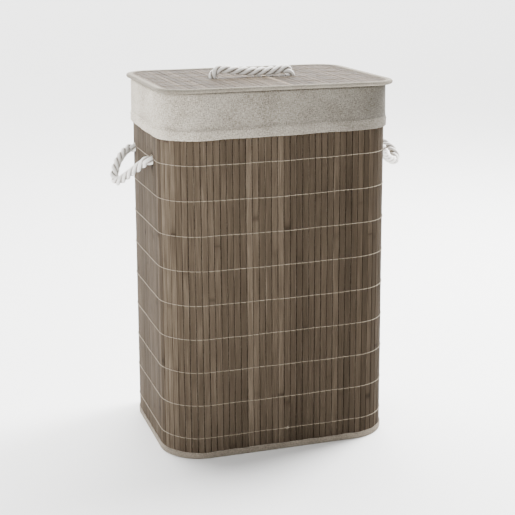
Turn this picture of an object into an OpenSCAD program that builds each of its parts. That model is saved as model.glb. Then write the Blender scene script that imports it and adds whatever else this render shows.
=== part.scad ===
// Laundry hamper with a lift-off lid. The wall is upright bamboo slats lashed side by side with
// rows of thread and bent into a rounded rectangle. A cloth liner hangs inside and folds over the
// rim as a cuff. The lid is slatted too, and rope grips pass through the lid and the two ends.
// Millimetres, +Z up, the front faces -Y, origin on the floor under the middle of the base.

/* [Wall] */
// Width of the wall at the floor, over the slats
body_w = 386; // [380:1:400]
// Depth of the wall at the floor, over the slats
body_d = 291; // [286:1:300]
// Outer corner radius of the wall at the floor
corner_r = 68; // [67:1:70]
// Height of the top ends of the slats
rim_z = 590; // [586:1:596]
// How far each side leans in from the floor to the rim
wall_lean = 4; // [0:0.5:4]
// Thickness of a slat
slat_t = 2.2; // [1.8:0.1:2.2]
// Width of a slat
slat_w = 9.6; // [8.8:0.1:9.6]
// Slats across the front, and across the back
front_count = 24; // [20:1:24]
// Slats across each end
side_count = 15; // [12:1:15]
// Slats round each corner
corner_count = 10; // [8:1:10]

/* [Lashing] */
// Thickness of the lashing thread
thread_d = 0.9; // [0.5:0.1:0.9]
// Height of the lowest row of thread
first_row_z = 35.4; // [30:0.1:36]
// Distance from row to row
row_pitch = 55.8; // [50:0.1:56]
// Rows of thread up the wall
row_count = 10; // [6:1:10]
// Distance between the lid's rows of thread
lid_row_pitch = 55.8; // [50:0.1:56]
// Rows of thread across the lid
lid_row_count = 4; // [4:2:4]

/* [Frame and base] */
// Diameter of the steel wire hoops in the wall
hoop_d = 4; // [3:0.5:4]
// Thickness of the binding tape
tape_t = 0.9; // [0.6:0.1:0.9]
// Height of the bottom binding
bottom_tape_h = 11; // [8:1:14]
// Height of the top binding
top_tape_h = 13; // [9:1:14]
// Thickness of the hardboard base
base_board_t = 4; // [3:0.5:4]
// Width of the tape that closes the wall at the back
seam_w = 34; // [20:1:60]

/* [Liner] */
// Lower edge of the cuff
cuff_z = 521.5; // [515:0.5:530]
// Height of the cuff's hem
hem_h = 16; // [10:1:20]
// Thickness of the liner cloth, doubled at the cuff
cloth_t = 1.3; // [1:0.1:1.3]
// Distance of the bag's neck inside the wall's outline at the floor
neck_inset = 12.3; // [12.3:0.1:14]
// Distance of the bag inside the wall's outline at the floor
bag_inset = 22.7; // [22.7:0.1:30]
// Height at which the cuff joins the bag
join_z = 562; // [555:1:565]

/* [Lid] */
// Width of the lid over its binding
lid_w = 388; // [384:1:396]
// Depth of the lid over its binding
lid_d = 298; // [294:1:304]
// Corner radius of the lid
lid_r = 45; // [40:1:60]
// Radius of the rounded edge of the lid
bead_r = 3.5; // [3.5:0.1:4]
// Number of slats in the lid
lid_count = 36; // [30:1:36]
// Diameter of the wire in the edge of the lid
lid_hoop_d = 4; // [3:0.5:4]

/* [Rope grips] */
// Diameter of the rope
rope_d = 14; // [12:0.5:14]
// Height of the holes for the two end grips
grip_z = 479; // [470:1:479]
// Distance from a grip's middle to each of its holes
grip_half = 64; // [60:1:64]
// How far back the left grip's middle sits
left_grip_y = 12; // [0:1:12]
// How far back the right grip's middle sits
right_grip_y = -8; // [-8:1:8]
// Radius of a stopper knot
knot_r = 10.5; // [9:0.5:10.5]
// Depth of a stopper knot
knot_t = 12; // [10:1:12]

/* [Hidden] */

// Clearance between pieces that touch, and between pieces that move
touch = 0.2;
gap = 0.3;

// Slats stand on the bottom binding
slat_foot_z = tape_t + gap;
// Depth inside a slat's outer face at which the hoops, knots and tapes begin
inner_face = slat_t + gap;
hoop_inset = inner_face + hoop_d / 2;
tape_inset = inner_face + hoop_d + gap;
thread_clear = 1.1;
knot_inset = slat_t + thread_d + thread_clear;
hem_t = 2.1;
top_tape_z = rim_z + 0.1 + tape_t;
cuff_top_z = top_tape_z + gap + cloth_t;
bag_wall_t = 1.2;
neck_low_z = 530;
bag_shoulder_z = 506;
base_z = 1.8;
bag_floor_z = base_z + base_board_t + gap;

// The lid, from its underside up
lid_z = cuff_top_z + 0.4;
bead_z = lid_z + bead_r;
lid_tape_t = 0.7;
lining_z = lid_z + lid_tape_t + 0.1;
lining_t = 0.4;
board_z = lining_z + lining_t + 0.1;
board_t = 1.5;
under_thread_z = board_z + board_t + 0.1;
lid_slat_z = under_thread_z + thread_d + 0.1;
lid_slat_t = 1.7;
lid_top_z = lid_slat_z + lid_slat_t;
panel_inset = 7.2;
flange_end = 10.5;
lid_hoop_inset = 3.6;

// The grips
rope_r = rope_d / 2;
hole_r = rope_r + gap;
stub_out = 1.5;
pivot_out = stub_out + gap + rope_r;
lid_hole_left_x = -73;
lid_hole_right_x = 60;
grip_wall_x = body_w / 2 - wall_lean * grip_z / rim_z;

// Route of the rope on the lid: along the lid, up from the lid's slats
lid_route = [
    [-73, 0, -5], [-73, 0, 3], [-69, 0, 10.5], [-60, 0, 13.8], [-36, 0, 11], [-10, 0, 8.7],
    [11, 0, 8.1], [33, 0, 9], [46, 0, 11], [54, 0, 10], [59, 0, 4], [60, 0, -5]
];
// Routes of the end grips: out from the pivot line, back from the grip's middle, up
left_route = [
    [0, -64, 0], [4, -57, -5], [16, -39, -19], [26, -20, -32], [34, -6, -41], [37, 5, -42],
    [37, 15, -33], [28, 32, -17], [14, 50, -5], [4, 61, -1], [0, 64, 0]
];
right_route = [
    [0, -64, 0], [8, -51, -9], [21, -34, -20], [37, -18, -29], [49, -6, -31], [54, 6, -25],
    [51, 18, -15], [41, 32, -6], [25, 46, -0.5], [9, 58, -0.3], [0, 64, 0]
];
rope_sides = 10;
steps = 4;
arc_steps = 16;
round_fn = 64;
wood = "#8a7a64";
cloth = "#d8d5cb";
twine = "#bfb39c";
rope_white = "#ece9e2";

// How far the wall has leaned in at a height
function lean(z) = wall_lean * z / rim_z;

// Outline of a rounded rectangle
function rounded(w, d, r) = [
    for (q = [0 : 3], i = [0 : arc_steps])
        let (a = 90 * q + 90 * i / arc_steps,
             cx = (q == 0 || q == 3 ? 1 : -1) * (w / 2 - r),
             cy = (q < 2 ? 1 : -1) * (d / 2 - r))
        [cx + r * cos(a), cy + r * sin(a)]
];

// Flat plate inside the outline of the wall or the lid
module plate(w, d, r, inset, z, t)
    translate([0, 0, z])
        linear_extrude(height = t)
            polygon(rounded(w - 2 * inset, d - 2 * inset, r - inset));

// Flat ring that follows an outline, from one inset to a smaller one
module flat_ring(w, d, r, inset, t, z, h)
    translate([0, 0, z])
        linear_extrude(height = h)
            difference() {
                polygon(rounded(w - 2 * inset, d - 2 * inset, r - inset));
                polygon(rounded(w - 2 * (inset + t), d - 2 * (inset + t), r - inset - t));
            }

// Sweeps a section round an outline: its x is measured out from the outline, its y is height
module ring_of(w, d, r)
    for (i = [0 : 3])
        rotate([0, 0, 90 * i]) {
            a = i % 2 == 0 ? w : d;
            b = i % 2 == 0 ? d : w;
            translate([a / 2, b / 2 - r, 0])
                rotate([90, 0, 0])
                    linear_extrude(height = b - 2 * r)
                        children();
            translate([a / 2 - r, b / 2 - r, 0])
                rotate_extrude(angle = 90, $fn = round_fn)
                    translate([r, 0])
                        children();
        }

module wall_ring() ring_of(body_w, body_d, corner_r) children();

module lid_ring() ring_of(lid_w, lid_d, lid_r) children();

// One leaning slat, its outer face at x = 0 on the floor and its width along Y
module slat()
    rotate([90, 0, 0])
        linear_extrude(height = slat_w, center = true)
            polygon([
                [-lean(slat_foot_z), slat_foot_z],
                [-lean(rim_z), rim_z],
                [-lean(rim_z) - slat_t, rim_z],
                [-lean(slat_foot_z) - slat_t, slat_foot_z]
            ]);

// Slats along one straight side, seen from outside, with the side turned to an angle
module straight_slats(angle, out, run, count)
    rotate([0, 0, angle])
        for (i = [0 : count - 1])
            translate([out, run * ((i + 0.5) / count - 0.5), 0])
                slat();

// Slats round one corner, from angle to angle + 90
module corner_slats(angle, cx, cy)
    translate([cx, cy, 0])
        for (i = [0 : corner_count - 1])
            rotate([0, 0, angle + 90 * (i + 0.5) / corner_count])
                translate([corner_r, 0, 0])
                    slat();

front_run = body_w - 2 * corner_r;
side_run = body_d - 2 * corner_r;

// Cylinders along X through both holes of one end grip
module grip_holes(side, grip_y, r)
    for (s = [-1, 1])
        translate([side * (grip_wall_x - 25), grip_y + s * grip_half, grip_z])
            rotate([0, side * 90, 0])
                cylinder(h = 30, r = r, $fn = 48);

module left_holes(r = hole_r) grip_holes(-1, left_grip_y, r);

module right_holes(r = hole_r) grip_holes(1, right_grip_y, r);

// Upright cylinders through both holes of the lid
module lid_holes(r = hole_r)
    for (x = [lid_hole_left_x, lid_hole_right_x])
        translate([x, 0, lid_z - 2])
            cylinder(h = 12, r = r, $fn = 48);

module front_slats() color(wood) straight_slats(-90, body_d / 2, front_run, front_count);

module back_slats() color(wood) straight_slats(90, body_d / 2, front_run, front_count);

module left_slats()
    color(wood)
        difference() {
            straight_slats(180, body_w / 2, side_run, side_count);
            left_holes();
        }

module right_slats()
    color(wood)
        difference() {
            straight_slats(0, body_w / 2, side_run, side_count);
            right_holes();
        }

module front_left_corner_slats() color(wood) corner_slats(180, -front_run / 2, -side_run / 2);

module front_right_corner_slats()
    color(wood)
        difference() {
            corner_slats(270, front_run / 2, -side_run / 2);
            right_holes();
        }

module back_left_corner_slats()
    color(wood)
        difference() {
            corner_slats(90, -front_run / 2, side_run / 2);
            left_holes();
        }

module back_right_corner_slats() color(wood) corner_slats(0, front_run / 2, side_run / 2);

// Every row of thread round the wall, on one face of the slats, cut where the ropes pass
module lashing(inset, cut_r)
    color(twine)
        difference() {
            for (k = [0 : row_count - 1]) {
                z = first_row_z + k * row_pitch;
                flat_ring(body_w, body_d, corner_r, inset + lean(z), thread_d, z, thread_d);
            }
            left_holes(cut_r);
            right_holes(cut_r);
        }

module outer_lashing_threads() lashing(-touch - thread_d, hole_r + touch);

module inner_lashing_threads() lashing(slat_t + touch, hole_r + touch);

module wall_seam_tape()
    color(twine)
        rotate([0, 0, 90])
            translate([body_d / 2, 0, 0])
                rotate([90, 0, 0])
                    linear_extrude(height = seam_w, center = true)
                        polygon([
                            for (p = [[0, 12], [0, rim_z - top_tape_h - 2],
                                      [tape_t, rim_z - top_tape_h - 2], [tape_t, 12]])
                                [-lean(p.y) - knot_inset + tape_t - p.x, p.y]
                        ]);

module top_hoop()
    color("silver")
        wall_ring()
            translate([-lean(rim_z) - hoop_inset, rim_z - 4])
                circle(d = hoop_d, $fn = 24);

module bottom_hoop()
    color("silver")
        wall_ring()
            translate([-hoop_inset, slat_foot_z + hoop_d / 2 + touch])
                circle(d = hoop_d, $fn = 24);

// Tape folded over an edge of the wall: edge is the height of the fold, up is 1 or -1
module edge_tape(edge, h, up) {
    x0 = touch - lean(edge);
    x1 = -tape_inset - lean(edge);
    wall_ring()
        polygon([
            [x0 + tape_t, edge], [x0 + tape_t, edge - up * h], [x0, edge - up * h],
            [x0, edge - up * tape_t], [x1, edge - up * tape_t], [x1, edge - up * h],
            [x1 - tape_t, edge - up * h], [x1 - tape_t, edge]
        ]);
}

module top_binding() color(cloth) edge_tape(top_tape_z, top_tape_h, 1);

module bottom_binding() color(twine) edge_tape(0, bottom_tape_h, -1);

module base_board()
    color("#8d6f4e")
        plate(body_w, body_d, corner_r, tape_inset + tape_t + gap, base_z, base_board_t);

module base_cloth()
    color("#5d5850")
        plate(body_w, body_d, corner_r, tape_inset + tape_t + gap, base_z - 1, 0.8);

// Stopper knot, its flat face at z = 0 and its body above
module knot()
    rotate_extrude($fn = 48)
        polygon(concat(
            [[0, 0], [knot_r - 3, 0]],
            [for (a = [-60 : 30 : 60]) [knot_r - 4 + 4 * cos(a), knot_t / 2 + (knot_t / 2 - 1) * sin(a)]],
            [[knot_r - 3, knot_t], [0, knot_t]]
        ));

// The knots of one end grip, inside the wall, and the rope from each to just outside it
module grip_knots(side, grip_y)
    color(rope_white)
        for (s = [-1, 1])
            translate([side * grip_wall_x, grip_y + s * grip_half, grip_z])
                rotate([0, -side * 90, 0])
                    union() {
                        translate([0, 0, knot_inset]) knot();
                        translate([0, 0, -stub_out]) cylinder(h = knot_inset + stub_out + 1, r = rope_r, $fn = 48);
                    }

module left_grip_knots() grip_knots(-1, left_grip_y);

module right_grip_knots() grip_knots(1, right_grip_y);

module liner_bag()
    color(cloth)
        union() {
            wall_ring()
                polygon([
                    [-neck_inset, join_z], [-neck_inset, neck_low_z], [-bag_inset, bag_shoulder_z],
                    [-bag_inset, bag_floor_z], [-bag_inset - bag_wall_t, bag_floor_z],
                    [-bag_inset - bag_wall_t, bag_shoulder_z], [-neck_inset - bag_wall_t, neck_low_z],
                    [-neck_inset - bag_wall_t, join_z]
                ]);
            plate(body_w, body_d, corner_r, bag_inset + bag_wall_t / 2, bag_floor_z, bag_wall_t);
        }

// The cuff hangs outside the wall to cuff_z and inside it to join_z
module liner_cuff() {
    face = touch + tape_t + gap;
    color(cloth)
        wall_ring()
            polygon([
                [face - lean(cuff_z), cuff_z],
                [face + hem_t - lean(cuff_z), cuff_z],
                [face + hem_t - lean(cuff_z + hem_h), cuff_z + hem_h],
                [face + cloth_t - lean(cuff_z + hem_h), cuff_z + hem_h + 1],
                [face + cloth_t - lean(rim_z), cuff_top_z - 1],
                [face + cloth_t - 1 - lean(rim_z), cuff_top_z],
                [-neck_inset, cuff_top_z],
                [-neck_inset - cloth_t, cuff_top_z - 1],
                [-neck_inset - cloth_t, join_z],
                [-neck_inset, join_z],
                [-neck_inset, cuff_top_z - cloth_t],
                [face - lean(rim_z), cuff_top_z - cloth_t]
            ]);
}

panel_w = lid_w - 2 * panel_inset;
panel_d = lid_d - 2 * panel_inset;
lid_pitch = panel_w / lid_count;

module lid_panel(z, t)
    difference() {
        plate(lid_w, lid_d, lid_r, panel_inset, z, t);
        lid_holes();
    }

module lid_slats()
    color(wood)
        for (i = [0 : lid_count - 1])
            intersection() {
                lid_panel(lid_slat_z, lid_slat_t);
                translate([lid_pitch * (i + 0.5 - lid_count / 2) - slat_w / 2, -lid_d / 2, lid_z])
                    cube([slat_w, lid_d, 20]);
            }

// Half the length of a row of thread at a distance from the lid's middle
function row_half(y) =
    let (r = lid_r - panel_inset, over = max(0, abs(y) - (panel_d / 2 - r)))
    panel_w / 2 - r + sqrt(r * r - over * over) - (flange_end - panel_inset) - 0.5;

module lid_lashing_threads()
    color(twine)
        for (k = [0 : lid_row_count - 1], z = [under_thread_z, lid_top_z + 0.1]) {
            y = (k - (lid_row_count - 1) / 2) * lid_row_pitch;
            translate([-row_half(y), y - thread_d / 2, z])
                cube([2 * row_half(y), thread_d, thread_d]);
        }

module lid_board() color("#8d6f4e") lid_panel(board_z, board_t);

module lid_lining() color(cloth) lid_panel(lining_z, lining_t);

module lid_edge_hoop()
    color("silver")
        lid_ring()
            translate([-lid_hoop_inset, bead_z])
                circle(d = lid_hoop_d, $fn = 24);

// Tape round the lid's edge: a half round with a flange above and below the panel
module lid_edge_binding()
    color(cloth)
        lid_ring()
            polygon(concat(
                [[-flange_end, lid_z]],
                [for (a = [-90 : 15 : 90]) [-bead_r + bead_r * cos(a), bead_z + bead_r * sin(a)]],
                [[-flange_end, lid_top_z + 0.1 + lid_tape_t], [-flange_end, lid_top_z + 0.1]],
                [for (a = [90 : -15 : -90])
                    [-bead_r + (bead_r - lid_tape_t) * cos(a), bead_z + (bead_r - lid_tape_t) * sin(a)]],
                [[-flange_end, lid_z + lid_tape_t]]
            ));

// Point on a smooth curve through four route points
function smooth(a, b, c, d, t) =
    0.5 * (2 * b + (c - a) * t + (2 * a - 5 * b + 4 * c - d) * t * t
           + (3 * b - a - 3 * c + d) * t * t * t);

// The whole route, with extra points between the given ones
function route(p) =
    let (n = len(p) - 1)
    concat(
        [for (i = [0 : n - 1], j = [0 : steps - 1])
            smooth(i == 0 ? 2 * p[0] - p[1] : p[i - 1], p[i], p[i + 1],
                   i == n - 1 ? 2 * p[n] - p[n - 1] : p[i + 2], j / steps)],
        [p[n]]
    );

function unit(v) = v / norm(v);

// Direction of the route at one point; the ends point along first and last
function heading(q, i, first, last) =
    i == 0 ? first : i == len(q) - 1 ? last : unit(q[i + 1] - q[i - 1]);

// Rings of a round tube: [centre, direction, radius], with a round cap at each end if asked
function stations(q, first, last, capped) =
    let (cap = [for (a = [80 : -20 : 20]) a])
    concat(
        capped ? [for (a = cap) [q[0] - rope_r * sin(a) * first, first, rope_r * cos(a)]] : [],
        [for (i = [0 : len(q) - 1]) [q[i], heading(q, i, first, last), rope_r]],
        capped ? [for (k = [len(cap) - 1 : -1 : 0])
            [q[len(q) - 1] + rope_r * sin(cap[k]) * last, last, rope_r * cos(cap[k])]] : []
    );

// Tube through a list of stations. Every ring is turned the same way about the loop's own normal
module tube(list, normal) {
    n = len(list);
    m = rope_sides;
    points = [
        for (s = list)
            let (u = unit(cross(s[1], normal)), v = cross(s[1], u))
            for (k = [0 : m - 1])
                s[0] + s[2] * (cos(360 * k / m) * u + sin(360 * k / m) * v)
    ];
    sides = [
        for (i = [0 : n - 2], k = [0 : m - 1])
            [i * m + k, i * m + (k + 1) % m, (i + 1) * m + (k + 1) % m, (i + 1) * m + k]
    ];
    ends = [[for (k = [m - 1 : -1 : 0]) k], [for (k = [0 : m - 1]) (n - 1) * m + k]];
    polyhedron(points, concat(sides, ends), convexity = 4);
}

module lid_grip_rope()
    color(rope_white)
        translate([0, 0, lid_top_z])
            tube(stations(route(lid_route), [0, 0, 1], [0, 0, -1], false), [0, 1, 0]);

module lid_grip_knots()
    color(rope_white)
        for (x = [lid_hole_left_x, lid_hole_right_x])
            translate([x, 0, lid_z - touch])
                mirror([0, 0, 1])
                    knot();

// The loop of one end grip. A loop is drawn on the right and mirrored to the left
module right_loop(points, grip_y)
    translate([grip_wall_x + pivot_out, grip_y, grip_z]) {
        q = route(points);
        n = len(q) - 1;
        tube(stations(q, unit(q[1] - q[0]), unit(q[n] - q[n - 1]), true), unit([1, 0, 1]));
    }

module left_grip_rope() color(rope_white) mirror([1, 0, 0]) right_loop(left_route, left_grip_y);

module right_grip_rope() color(rope_white) right_loop(right_route, right_grip_y);

front_slats();
back_slats();
left_slats();
right_slats();
front_left_corner_slats();
front_right_corner_slats();
back_left_corner_slats();
back_right_corner_slats();
outer_lashing_threads();
inner_lashing_threads();
wall_seam_tape();
top_hoop();
top_binding();
bottom_hoop();
bottom_binding();
base_board();
base_cloth();
left_grip_knots();
right_grip_knots();
liner_bag();
liner_cuff();
lid_slats();
lid_lashing_threads();
lid_board();
lid_lining();
lid_edge_hoop();
lid_edge_binding();
lid_grip_rope();
lid_grip_knots();
left_grip_rope();
right_grip_rope();
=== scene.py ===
"""Looks of a slatted laundry hamper with a lift-off lid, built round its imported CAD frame."""
import math
import random

import bpy
import bmesh
import numpy as np
from mathutils import Matrix, Vector


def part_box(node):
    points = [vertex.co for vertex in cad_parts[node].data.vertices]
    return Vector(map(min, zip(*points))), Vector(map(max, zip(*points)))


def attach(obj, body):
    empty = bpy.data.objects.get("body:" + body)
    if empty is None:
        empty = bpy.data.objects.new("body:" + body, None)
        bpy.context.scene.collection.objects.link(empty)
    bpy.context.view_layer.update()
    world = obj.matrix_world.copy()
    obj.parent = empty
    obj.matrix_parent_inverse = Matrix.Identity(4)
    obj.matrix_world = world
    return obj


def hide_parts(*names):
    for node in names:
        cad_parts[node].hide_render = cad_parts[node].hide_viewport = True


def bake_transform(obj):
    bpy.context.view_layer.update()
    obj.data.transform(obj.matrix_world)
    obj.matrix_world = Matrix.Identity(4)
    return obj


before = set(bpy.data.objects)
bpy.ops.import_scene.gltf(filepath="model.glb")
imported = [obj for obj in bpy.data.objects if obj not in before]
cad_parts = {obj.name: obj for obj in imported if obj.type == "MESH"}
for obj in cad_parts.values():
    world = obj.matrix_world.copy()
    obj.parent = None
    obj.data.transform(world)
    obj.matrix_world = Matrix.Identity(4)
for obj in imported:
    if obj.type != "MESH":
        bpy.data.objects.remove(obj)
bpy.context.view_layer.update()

# Sizes in millimetres, as the CAD model has them
BODY_W = 386.0
BODY_D = 291.0
CORNER_R = 68.0
RIM_Z = 590.0
WALL_LEAN = 4.0
SLAT_T = 2.2
SLAT_W = 9.6
SLAT_FOOT_Z = 1.2
FRONT_COUNT = 24
SIDE_COUNT = 15
CORNER_COUNT = 10
FIRST_ROW_Z = 35.85
ROW_PITCH = 55.8
ROW_COUNT = 10
CUFF_Z = 521.5
HEM_H = 16.0
CUFF_TOP_Z = 592.6
JOIN_Z = 562.0
NECK_INSET = 12.3
BAG_INSET = 22.7
BAG_FLOOR_Z = 6.1
LID_W = 388.0
LID_D = 298.0
LID_R = 45.0
LID_Z = 593.0
LID_SLAT_Z = 596.9
LID_TOP_Z = 598.6
LID_SLAT_T = 1.7
LID_COUNT = 36
PANEL_INSET = 7.2
BEAD_R = 3.5
FLANGE_END = 10.5
ROPE_R = 7.0
GRIP_Z = 479.0
GRIP_HALF = 64.0
LEFT_GRIP_Y = 12.0
RIGHT_GRIP_Y = -8.0
PIVOT_OUT = 8.8
KNOT_INSET = 4.2
LID_HOLES_X = (-73.0, 60.0)
HOLE_R = ROPE_R + 0.5
LID_PITCH = (LID_W - 2 * PANEL_INSET) / LID_COUNT

# Sizes in millimetres that only the looks have
THREAD_R = 0.45
THREAD_SIDES = 6
THREAD_REACH = 3.6  # half the length of a thread's run over one slat
ROW_WAVER = 0.35
ROW_SKEW = 4.2  # rise of the top row towards the right end of the front
SKEW_FULL_X = 130.0
ROW_PUSH = 5.6  # how far a rope pushes up the row that it passes
PUSH_REACH = 9.0
JOIN_LOOP_X = 5.0
SLAT_BEND = 0.10
ROPE_LAY = 45.0  # travel in one full turn of the strands
ROPE_STEP = 1.1
STRAND_SIDES = 24
STRAND_COUNT = 3
STRAND_OUT = 0.55 * ROPE_R  # from the rope's middle to a strand's
STRAND_R = 0.465 * ROPE_R
YARN_COUNT = 8
YARN_TWIST = 0.20  # radians in a millimetre
KNOT_STRAND_R = 2.7
KNOT_CORE_R = 2.2
KNOT_SPREAD = 5.4
KNOT_FOOT_H = 3.3
KNOT_TIER_H = 4.6
FOOT_TAPE_H = 11.0
CUFF_FACE = 1.55  # the cuff's inner face, out from the slats' faces
CLOTH_GAP = 1.1  # from the cuff's inner face to its outer one
NECK_OUT = NECK_INSET + 1.3
CUFF_BEND_Z = CUFF_TOP_Z - 3.0
SWAY = 0.55
CREASE = 0.22
# Painted light and shade on the cuff's tone: a middle level, darker towards the right, lighter at
# the left corner.
PAINTED_LIGHT_MIDDLE = 0.29
PAINTED_SHADE_RIGHT = 0.28
PAINTED_LIGHT_LEFT_CORNER = 0.34
HEM_LIFT = 0.14
BAG_CLOTH_T = 0.9
LINING_T = 0.5

# Seeds: each slat adds its own number
WALL_SEED = 100
LID_SEED = 400

# Routes of the ropes, as the CAD model has them
LID_ROUTE = [
    [-73, 0, -5], [-73, 0, 3], [-69, 0, 10.5], [-60, 0, 13.8], [-36, 0, 11], [-10, 0, 8.7],
    [11, 0, 8.1], [33, 0, 9], [46, 0, 11], [54, 0, 10], [59, 0, 4], [60, 0, -5],
]
LEFT_ROUTE = [
    [0, -64, 0], [4, -57, -5], [16, -39, -19], [26, -20, -32], [34, -6, -41], [37, 5, -42],
    [37, 15, -33], [28, 32, -17], [14, 50, -5], [4, 61, -1], [0, 64, 0],
]
RIGHT_ROUTE = [
    [0, -64, 0], [8, -51, -9], [21, -34, -20], [37, -18, -29], [49, -6, -31], [54, 6, -25],
    [51, 18, -15], [41, 32, -6], [25, 46, -0.5], [9, 58, -0.3], [0, 64, 0],
]


def lean(z):
    """How far the wall has leaned in at a height."""
    return WALL_LEAN * z / RIM_Z


GRIP_WALL_X = BODY_W / 2 - lean(GRIP_Z)


# ---- camera

def add_camera(azimuth, elevation, distance, target, roll, lens):
    """Camera that looks at target from an azimuth left of the front and an elevation above it."""
    az, el = math.radians(azimuth), math.radians(elevation)
    target = Vector(target)
    away = Vector((-math.sin(az) * math.cos(el), -math.cos(az) * math.cos(el), math.sin(el)))
    right = Vector((0, 0, 1)).cross(away).normalized()
    up = away.cross(right)
    turn = Matrix.Rotation(math.radians(roll), 3, away)
    columns = Matrix((turn @ right, turn @ up, away)).transposed()
    data = bpy.data.cameras.new("camera")
    data.lens = lens
    data.sensor_width = 36.0
    data.clip_end = 100.0
    camera = bpy.data.objects.new("camera", data)
    camera.matrix_world = Matrix.Translation(target + distance * away) @ columns.to_4x4()
    bpy.context.scene.collection.objects.link(camera)
    bpy.context.scene.camera = camera


add_camera(azimuth=17.73, elevation=14.93, distance=2.0258, target=(0.0013, 0.0, 0.2905),
           roll=-0.28, lens=82.8)


# ---- mesh helpers

class Shape:
    """Points and faces in millimetres, with three values at each point for the materials."""

    def __init__(self):
        self.points, self.faces, self.flow, self.tone, self.mark = [], [], [], [], []
        self.count = 0

    def grid(self, points, flow, tone=0.5, mark=0.0, close_rows=False, close_columns=False,
             caps=False):
        """Quads over an array of rows and columns of points. Caps fill the first and last rows."""
        rows, columns = points.shape[:2]
        index = self.count + np.arange(rows * columns).reshape(rows, columns)
        if close_rows:
            index = np.vstack([index, index[:1]])
        if close_columns:
            index = np.hstack([index, index[:, :1]])
        quads = np.stack([index[:-1, :-1], index[:-1, 1:], index[1:, 1:], index[1:, :-1]], axis=-1)
        self.faces.extend(quads.reshape(-1, 4).tolist())
        if caps:
            self.faces.append(index[0, :columns].tolist()[::-1])
            self.faces.append(index[rows - 1, :columns].tolist())
        self.points.append(points.reshape(-1, 3))
        self.flow.append(flow.reshape(-1, 3))
        full = np.ones((rows, columns))
        self.tone.append((full * tone).reshape(-1))
        self.mark.append((full * mark).reshape(-1))
        self.count += rows * columns


def apply_modifiers(made):
    """Turns what a piece's modifiers show into its own mesh."""
    bpy.context.view_layer.update()
    graph = bpy.context.evaluated_depsgraph_get()
    mesh = bpy.data.meshes.new_from_object(made.evaluated_get(graph))
    made.modifiers.clear()
    made.data = mesh


def thicken(made, thickness, offset=-1.0):
    """Gives a cloth its thickness in millimetres. Offset 0 puts half on each side."""
    cloth = made.modifiers.new("cloth", "SOLIDIFY")
    cloth.thickness = thickness / 1000
    cloth.offset = offset
    apply_modifiers(made)


def attribute(mesh, name, kind, values):
    """Stores one value at each point of a mesh."""
    made = mesh.attributes.new(name, kind, "POINT")
    key = "vector" if kind == "FLOAT_VECTOR" else "value"
    made.data.foreach_set(key, np.asarray(values, np.float32).ravel())


def piece(shape, name, material, body=None, replaces=()):
    """Makes one object of a shape, with its outward faces turned out, and lets it ride."""
    mesh = bpy.data.meshes.new(name)
    points = np.vstack(shape.points) / 1000.0
    mesh.from_pydata(points.tolist(), [], shape.faces)
    attribute(mesh, "flow", "FLOAT_VECTOR", np.vstack(shape.flow))
    attribute(mesh, "tone", "FLOAT", np.concatenate(shape.tone))
    attribute(mesh, "mark", "FLOAT", np.concatenate(shape.mark))
    work = bmesh.new()
    work.from_mesh(mesh)
    bmesh.ops.recalc_face_normals(work, faces=work.faces)
    work.to_mesh(mesh)
    work.free()
    mesh.shade_smooth()
    mesh.materials.append(material)
    made = bpy.data.objects.new(name, mesh)
    bpy.context.scene.collection.objects.link(made)
    if replaces:
        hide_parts(*replaces)
    if body:
        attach(made, body)
    return made


def wave(x, wavelengths, seed):
    """Smooth irregular wave of about unit height along x, from a few sines."""
    rng = random.Random(seed)
    total = np.zeros_like(np.asarray(x, float))
    for length in wavelengths:
        total = total + np.sin(2 * math.pi * np.asarray(x) / length + rng.uniform(0, 2 * math.pi))
    return total / math.sqrt(len(wavelengths))


def distances(path):
    """Distance travelled at each point of a path."""
    steps = np.linalg.norm(np.diff(path, axis=0), axis=1)
    return np.concatenate([[0], np.cumsum(steps)])


def outline(w, d, r, step):
    """Rounded rectangle, anticlockwise from the right side: points, outward normals, distances."""
    points, normals = [], []
    for quarter in range(4):
        side = (d, w)[quarter % 2] - 2 * r
        out = (w, d)[quarter % 2] / 2
        count = max(2, round(side / step))
        angle = math.pi / 2 * quarter
        c, s = math.cos(angle), math.sin(angle)
        for i in range(count):
            along = side * (i / count - 0.5)
            points.append((out * c - along * s, out * s + along * c))
            normals.append((c, s))
        count = max(4, round(r * math.pi / 2 / step))
        cx, cy = (out - r), side / 2
        for i in range(count):
            a = angle + math.pi / 2 * i / count
            points.append((cx * c - cy * s + r * math.cos(a), cx * s + cy * c + r * math.sin(a)))
            normals.append((math.cos(a), math.sin(a)))
    points, normals = np.array(points), np.array(normals)
    steps = np.linalg.norm(np.roll(points, -1, 0) - points, axis=1)
    return points, normals, np.concatenate([[0], np.cumsum(steps)[:-1]])


def swept(shape, ring, offsets, heights, across, tone=0.5, mark=0.0, closed=True):
    """Sweeps a section round a ring. Offsets and heights have a row for each ring point."""
    points, normals, along = ring
    x = points[:, None, 0] + normals[:, None, 0] * offsets
    y = points[:, None, 1] + normals[:, None, 1] * offsets
    grid = np.stack([x, y, np.broadcast_to(heights, x.shape)], axis=-1)
    flow = np.zeros_like(grid)
    flow[..., 0] = along[:, None]
    flow[..., 1] = across
    shape.grid(grid, flow, tone, mark, close_rows=True, close_columns=closed)


def smooth_route(points, steps):
    """Extra points on a smooth curve through a route's points."""
    p = np.array(points, float)
    p = np.vstack([2 * p[0] - p[1], p, 2 * p[-1] - p[-2]])
    out = []
    for a, b, c, d in zip(p[:-3], p[1:-2], p[2:-1], p[3:]):
        for t in np.arange(steps) / steps:
            out.append(0.5 * (2 * b + (c - a) * t + (2 * a - 5 * b + 4 * c - d) * t * t
                              + (3 * b - a - 3 * c + d) * t ** 3))
    return np.array(out + [p[-2]])


def resample(path, step):
    """The same path with points an even step apart."""
    lengths = distances(path)
    count = max(2, round(lengths[-1] / step)) + 1
    even = np.linspace(0, lengths[-1], count)
    return np.stack([np.interp(even, lengths, path[:, k]) for k in range(3)], axis=1), even


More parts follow.
